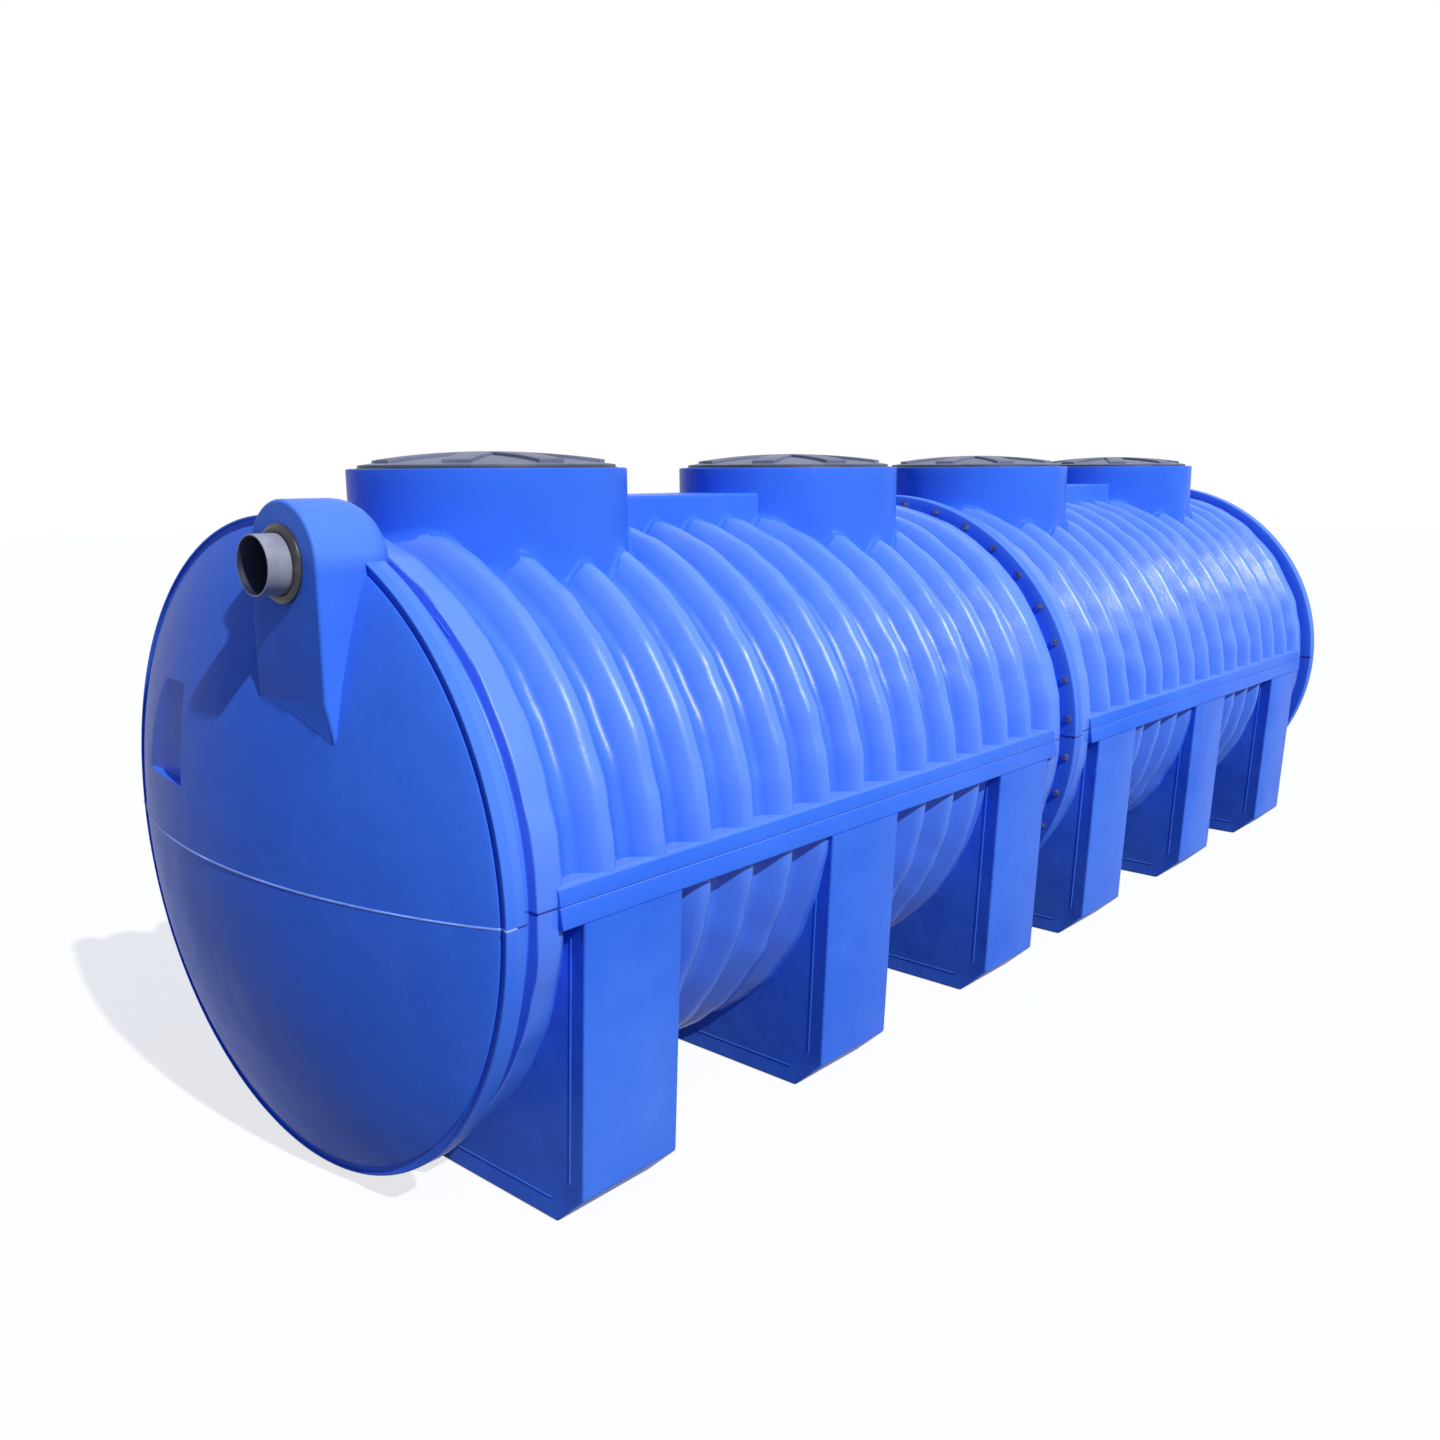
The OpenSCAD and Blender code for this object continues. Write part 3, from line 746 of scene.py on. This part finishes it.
def makeDome(end):
    # dish, boss and end flange as one shell: the outside, less the inside, less what the barrel fills
    wall, radius, low = dome["wall"], dome["bossRadius"], dome["bossLow"]
    flangeBack = domeFace + flangeThick
    edge, backEdge = dome["bossEdge"], dome["bossBackEdge"]
    wholeBoss = bossShape(radius, low, bossFace, bossBack, edge, backEdge)
    hollowBoss = bossShape(radius - wall, low + wall, bossFace + wall, bossBack - wall,
                           backEdge=backEdge - wall)
    outer = combined(capSolid(0, flangeBack, flangeRadius, dome["rimEdge"]), wholeBoss, "UNION")
    outer = combined(outer, pocketShape(0))
    inner = combined(capSolid(wall, flangeBack + 0.001, flangeRadius - dome["ring"] - wall, 0),
                     hollowBoss, "UNION")
    inner = combined(inner, pocketShape(wall))
    shell = combined(outer, inner)
    shell = combined(shell, cylinderX(barrel["grooveRadius"] - wall, flangeBack - 0.0005, flangeBack + 0.3, 0,
                                      axisHeight, dome["turnSteps"]))
    shell = combined(shell, barrelSolid(moduleMiddle["near"], 0.0))
    shell = facing(shell, end)
    # the hole for the pipe, cut where the pipe of this end is
    cutEnd, cutDeep = cadHigh.x + 0.01, 0.2
    lowX, highX = sorted((ends[end] * cutEnd, ends[end] * (cutEnd - cutDeep)))
    hole = cylinderX(seal["plug"], lowX, highX, ends[end] * dome["pipeSide"], pipeHeight(end))
    nodes = [end + part for part in ("_dome", "_boss", "_end_flange")]
    placed(end + "Dome", combined(shell, hole), domePlastic, nodes, 30)


for end in ends:
    makeDome(end)
print("domed ends made")


def aboutPipe(outline, end, steps=96):
    # outline of (radius, out from the boss) turned about the pipe's axis
    bm = bmesh.new()
    side, z = dome["pipeSide"], pipeHeight(end)
    places = [(bossFace - point.y, -side, z + point.x) for point in outline]
    verts, edges = chainOf(bm, places, closed=True)
    bmesh.ops.spin(bm, geom=verts + edges, cent=(0, -side, z), axis=(1, 0, 0), angle=math.tau, steps=steps,
                   use_merge=True)
    return facing(tidied(bm), end)


pipe = {"radius": 0.055, "wall": 0.0032, "out": 0.056, "in": 0.080, "lip": 0.001}


def makePipe(end):
    r, w = pipe["radius"], pipe["wall"]
    tube = roundedOutline([(r, pipe["out"], pipe["lip"]), (r, -pipe["in"], 0), (r - w, -pipe["in"], 0),
                           (r - w, pipe["out"], pipe["lip"])], 3, closed=True)
    piece = placed(end + "Pipe", aboutPipe(tube, end), greyPipe, [end + "_pipe"])
    piece.data.materials.append(paintedBoreShade)
    for face in piece.data.polygons:  # the bore is darker: painted shade inside the pipe
        out = math.hypot(face.center.y - ends[end] * dome["pipeSide"], face.center.z - pipeHeight(end))
        if out < r - w * 0.7:
            face.material_index = 1
    ring = roundedOutline([(r, seal["out"] - 0.003, 0.002), (r + 0.008, seal["out"], 0.003),
                           (seal["radius"], 0.006, 0.004), (seal["radius"], 0, 0.001), (seal["plug"], 0, 0),
                           (seal["plug"], -seal["depth"], 0.002), (r, -seal["depth"], 0)], 4, closed=True)
    placed(end + "Seal", aboutPipe(ring, end), blackRubber, [end + "_seal"], 50)


for end in ends:
    makePipe(end)
print("pipes made")


# saddle legs and side rails

leg = {
    "lean": 0.028, "chamferHeight": 0.074, "chamferWidth": 0.080, "rounding": 0.005,
    "border": 0.036, "recess": 0.004, "lineWidth": 0.0018, "lineHeight": 0.0012,
    "above": 0.08,  # drawn this much too tall, then cut level
}
rail = {"rounding": 0.004, "topRounding": 0.012, "partingBelow": 0.010, "partingHalf": 0.0016,
        "partingDepth": 0.004, "leanTop": 0.011, "leanParting": 0.006, "endRounding": 0.002}
legCutter = {side: barrelSolid(moduleMiddle[side]) for side in sides}


def makeLeg(side, index):
    node = f"{side}_leg_{index}"
    low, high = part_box(node)
    half, top = high.y, high.z
    chamferY = half - leg["lean"]
    soleY = chamferY - leg["chamferWidth"]
    above = top + leg["above"]
    outward = half + leg["lean"] * leg["above"] / (top - leg["chamferHeight"])
    outline = [(-outward, above), (-chamferY, leg["chamferHeight"]), (-soleY, 0), (soleY, 0),
               (chamferY, leg["chamferHeight"]), (outward, above)]
    bm = prism(outline, low.x, high.x)
    rounded(bm, leg["rounding"], 3, angle=10)
    for sign in (-1, 1):  # a border line pressed into the front and the back
        face = max((f for f in bm.faces if f.normal.x * sign > 0.9), key=lambda f: f.calc_area())
        for thickness, depth in ((leg["border"], -leg["recess"]), (leg["lineWidth"], leg["lineHeight"]),
                                 (leg["lineWidth"], 0), (leg["lineWidth"], -leg["lineHeight"])):
            bmesh.ops.inset_region(bm, faces=[face], thickness=thickness, depth=depth, use_even_offset=True)
    cut = bmesh.ops.bisect_plane(bm, geom=bm.verts[:] + bm.edges[:] + bm.faces[:], plane_co=(0, 0, top),
                                 plane_no=(0, 0, 1), clear_outer=True)["geom_cut"]
    bmesh.ops.contextual_create(bm, geom=[e for e in cut if isinstance(e, bmesh.types.BMEdge)])
    bmesh.ops.recalc_face_normals(bm, faces=bm.faces)
    bm = combined(bm, legCutter[side].copy())
    placed(f"{side}Leg{index}", bm, legPlastic, [node], 20)


def makeRail(side, where):
    node = f"{side}_{where}_rail"
    low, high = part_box(node)
    outer, inner = (low.y, high.y) if where == "right" else (high.y, low.y)
    inward = -hands[where]
    parting = axisHeight - rail["partingBelow"]
    edge, notch, depth = rail["rounding"], rail["partingHalf"], rail["partingDepth"]
    atTop, atParting = outer + inward * rail["leanTop"], outer + inward * rail["leanParting"]
    corners = [(inner, low.z, 0), (outer, low.z, edge), (atParting, parting - notch, 0.0008),
               (atParting + inward * depth, parting, 0), (atParting, parting + notch, 0.0008),
               (atTop, high.z, rail["topRounding"]), (inner, high.z, 0)]
    bm = prism(roundedOutline(corners, 3, closed=True), low.x, high.x)
    rounded(bm, rail["endRounding"], 2, lambda e: abs(e.verts[0].co.x - e.verts[1].co.x) < joining["same"])
    bm = combined(bm, legCutter[side].copy())
    placed(f"{side}{where.capitalize()}Rail", bm, railPlastic, [node], 25)


for side in sides:
    for index in (1, 2, 3):
        makeLeg(side, index)
    for where in hands:
        makeRail(side, where)
print("legs and rails made")


# bolts through the flanges

bolt = {"count": 36, "circle": 0.650, "firstTurn": 6.5, "head": 0.008, "headHeight": 0.0065, "washer": 0.011,
        "washerThick": 0.002, "shank": 0.004, "tip": 0.008, "taper": 0.97}


def oneBolt(outward, x, angle, threaded):
    thick, tall = bolt["washerThick"], bolt["headHeight"]
    discs = [(12, bolt["washer"], 0, thick), (6, bolt["head"], thick, thick + tall)]
    if threaded:
        discs.append((8, bolt["shank"], thick + tall, thick + tall + bolt["tip"]))
    bm = bmesh.new()
    for segments, radius, low, high in discs:
        disc = bmesh.ops.create_cone(bm, cap_ends=True, segments=segments, radius1=radius,
                                     radius2=radius * bolt["taper"], depth=high - low)
        bmesh.ops.translate(bm, verts=disc["verts"], vec=(0, 0, (low + high) / 2))
    quarter = Matrix.Rotation(outward * math.pi / 2, 3, "Y")
    bmesh.ops.rotate(bm, verts=bm.verts, cent=(0, 0, 0), matrix=quarter)
    bmesh.ops.translate(bm, verts=bm.verts, vec=(x, 0, bolt["circle"]))
    bmesh.ops.rotate(bm, verts=bm.verts, cent=(0, 0, 0), matrix=Matrix.Rotation(angle, 3, "X"))
    bmesh.ops.translate(bm, verts=bm.verts, vec=(0, 0, axisHeight))
    return bm


def boltRing(name, rows):
    # rows are (side that the head faces, x of the face it sits on, whether a thread shows)
    whole = bmesh.new()
    scratch = bpy.data.meshes.new("bolt")
    for i in range(bolt["count"]):
        angle = math.tau * i / bolt["count"] + math.radians(bolt["firstTurn"])
        for outward, x, threaded in rows:
            single = oneBolt(outward, x, angle, threaded)
            single.to_mesh(scratch)
            single.free()
            whole.from_mesh(scratch)
    bpy.data.meshes.remove(scratch)
    placed(name, whole, boltSteelBlueReflection)


boltRing("junctionBolts", [(-1, -flangeThick, False), (1, flangeThick, True)])
print("bolts made")


# parting lines of the two halves: a light flash across each dome, and past each collar a thin tube painted
# dark, a painted shade standing in for the parting groove

flash = {"radius": 0.0026, "below": 0.011, "steps": 60, "sunkShare": 0.3}
seam = {"radius": 0.0016, "below": 0.010}


def tubeAlong(route, radius):
    line = bpy.data.curves.new("tube", "CURVE")
    line.dimensions = "3D"
    line.bevel_depth = radius
    line.bevel_resolution = 1
    line.use_fill_caps = True
    spline = line.splines.new("POLY")
    spline.points.add(len(route) - 1)
    for point, place in zip(spline.points, route):
        point.co = (*place, 1)
    curve = bpy.data.objects.new("tube", line)
    bpy.context.scene.collection.objects.link(curve)
    bm = bmesh.new()
    tube = bpy.data.meshes.new_from_object(curve.evaluated_get(bpy.context.evaluated_depsgraph_get()))
    bm.from_mesh(tube)
    bpy.data.meshes.remove(tube)
    bpy.data.objects.remove(curve)
    return tidied(bm)


def makeFlash(end):
    # round the flange's rim, down into the channel, over the dish and out again on the other side
    z = axisHeight - flash["below"]
    sunk = flash["radius"] * flash["sunkShare"]
    widest = math.sqrt((flangeRadius - dome["ring"]) ** 2 - flash["below"] ** 2)
    points = []
    for i in range(flash["steps"] + 1):
        y = -widest * math.cos(math.pi * i / flash["steps"])
        points.append(Vector((domeFace - domeOut(math.hypot(y, flash["below"])) + sunk, y, z)))
    rim, back, lip = flangeRadius - sunk, domeFace + flangeThick, dome["lip"]
    turns = ((back, -rim), (domeFace + sunk, -rim), (domeFace + sunk, lip - flangeRadius),
             (domeFace + lip, lip + 0.001 - flangeRadius), (domeFace + lip, -widest - 0.001))
    start = [Vector((x, y, z)) for x, y in turns]
    stop = [Vector((p.x, -p.y, p.z)) for p in reversed(start)]
    line = tubeAlong(start + points + stop, flash["radius"])
    placed(end + "Flash", facing(line, end), flashPlastic, smoothBelow=60)


def makeSeam(side, where):
    # a thin tube along the parting line, painted dark as the shade of a groove
    railLow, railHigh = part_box(f"{side}_{where}_rail")
    middle, half, z = moduleMiddle[side], barrel["halfLength"], axisHeight - seam["below"]
    for turn, railEnd in ((-1, railLow.x), (1, railHigh.x)):
        collarEnd, end = middle + turn * (half - barrel["grooveWidth"]), middle + turn * half
        route = [(railEnd, barrel["crestRadius"]), (collarEnd, barrel["crestRadius"]),
                 (collarEnd, barrel["grooveRadius"]), (end, barrel["grooveRadius"]),
                 (end, flangeRadius), (end + turn * flangeThick, flangeRadius)]
        line = tubeAlong([(x, hands[where] * reach, z) for x, reach in route], seam["radius"])
        name = f"{side}{where.capitalize()}Seam{'Front' if turn < 0 else 'Back'}"
        placed(name, line, paintedSeamShade, smoothBelow=60)


for end in ends:
    makeFlash(end)
for side in sides:
    for where in hands:
        makeSeam(side, where)
print("parting lines made")


# floor, light and camera

stage = {"floorSize": 60, "floorColour": (0.14, 0.15, 0.17, 1), "shadeColour": (0.80, 0.80, 0.80, 1),
         "shadeShare": 0.35, "pale": 1.17,
         "fill": (0.08, 0.15, 0.34, 1), "sun": 3.35, "sunAngle": 1.2, "sunFrom": (-0.120, -0.735, 0.67)}


def makeStage():
    # a floor that looks white to the camera, keeps the shadow and throws little light back
    bm = bmesh.new()
    bmesh.ops.create_grid(bm, x_segments=1, y_segments=1, size=stage["floorSize"] / 2)
    mesh = bpy.data.meshes.new("floor")
    bm.to_mesh(mesh)
    bm.free()
    floor = bpy.data.objects.new("floor", mesh)
    bpy.context.scene.collection.objects.link(floor)
    material = bpy.data.materials.new("floor")
    material.use_nodes = True
    make = nodeMaker(material)
    tree = material.node_tree
    tree.nodes.remove(tree.nodes["Principled BSDF"])
    seen = make("ShaderNodeLightPath")
    direct = make("ShaderNodeMath", {0: seen.outputs["Is Camera Ray"], 1: seen.outputs["Is Glossy Ray"]},
                  operation="MAXIMUM")
    plain = make("ShaderNodeBsdfDiffuse", Color=stage["floorColour"])
    shaded = make("ShaderNodeBsdfDiffuse", Color=stage["shadeColour"])
    pale = make("ShaderNodeEmission", Color=(1, 1, 1, 1), Strength=stage["pale"])
    white = make("ShaderNodeMixShader", {1: pale.outputs[0], 2: shaded.outputs[0]}, Fac=stage["shadeShare"])
    both = make("ShaderNodeMixShader", {0: direct.outputs[0], 1: plain.outputs[0], 2: white.outputs[0]})
    tree.links.new(both.outputs[0], tree.nodes["Material Output"].inputs["Surface"])
    mesh.materials.append(material)

    world = bpy.data.worlds.new("studio")
    bpy.context.scene.world = world
    world.use_nodes = True
    tree = world.node_tree
    make = nodeMaker(world)
    seen = make("ShaderNodeLightPath")
    direct = make("ShaderNodeMath", {0: seen.outputs["Is Camera Ray"], 1: seen.outputs["Is Glossy Ray"]},
                  operation="MAXIMUM")
    direct = make("ShaderNodeMath", {0: direct.outputs[0], 1: seen.outputs["Is Transmission Ray"]},
                  operation="MAXIMUM")
    light = mixColour(make, direct.outputs[0], stage["fill"], (1, 1, 1, 1))
    tree.links.new(light, tree.nodes["Background"].inputs["Color"])

    lamp = bpy.data.lights.new("sun", "SUN")
    lamp.energy = stage["sun"]
    lamp.angle = math.radians(stage["sunAngle"])
    sun = bpy.data.objects.new("sun", lamp)
    sun.rotation_mode = "QUATERNION"
    sun.rotation_quaternion = Vector(stage["sunFrom"]).normalized().to_track_quat("Z", "Y")
    bpy.context.scene.collection.objects.link(sun)


view = {"place": (-3.399, -2.305, 1.440), "heading": 41.66, "pitch": -11.015, "roll": -0.376, "lens": 31.89}


def makeCamera():
    heading, pitch, roll = (math.radians(view[key]) for key in ("heading", "pitch", "roll"))
    ahead = Vector((math.cos(heading) * math.cos(pitch), math.sin(heading) * math.cos(pitch),
                    math.sin(pitch)))
    level = Vector((math.sin(heading), -math.cos(heading), 0))
    up = level.cross(ahead)
    right = level * math.cos(roll) + up * math.sin(roll)
    up = right.cross(ahead)
    data = bpy.data.cameras.new("camera")
    data.sensor_width = 36
    data.lens = view["lens"]
    data.clip_end = 200
    camera = bpy.data.objects.new("camera", data)
    turn = Matrix((right, up, -ahead)).transposed()
    camera.matrix_world = Matrix.Translation(view["place"]) @ turn.to_4x4()
    bpy.context.scene.collection.objects.link(camera)
    bpy.context.scene.camera = camera


makeStage()
makeCamera()
bpy.context.scene.view_settings.view_transform = "Standard"
